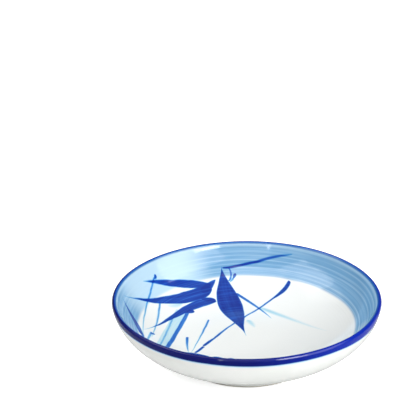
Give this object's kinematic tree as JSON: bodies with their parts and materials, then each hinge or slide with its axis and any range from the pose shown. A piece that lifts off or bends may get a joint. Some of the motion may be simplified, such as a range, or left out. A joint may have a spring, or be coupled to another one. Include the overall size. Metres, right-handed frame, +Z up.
{
  "type": "soy sauce dish",
  "caption": "Small shallow round porcelain dish for soy sauce, on a foot ring, with a cobalt rim, a pale blue wash inside and blue brushed bamboo.",
  "frame": {"origin": "middle of the foot ring on the table", "axes": "+Z up along the dish's axis; the picture looks along +Y with +X to the right"},
  "size_m": [0.1, 0.1, 0.025],
  "materials": {
    "porcelain": "unglazed white clay, hidden by the coats",
    "bare_porcelain": "matt, wiped bare where the dish stands",
    "cobalt_glaze": "dark cobalt blue under a glossy glaze",
    "wash_glaze": "pale blue brushed wash under a glossy glaze",
    "white_glaze": "glossy cool white glaze"
  },
  "bodies": {
    "root": {"porcelain_body": "porcelain", "foot_ring": "bare_porcelain", "rim_band": "cobalt_glaze", "wash_band": "wash_glaze", "well_glaze": "white_glaze", "outer_glaze": "white_glaze", "foot_well_glaze": "white_glaze"}
  },
  "joints": []
}
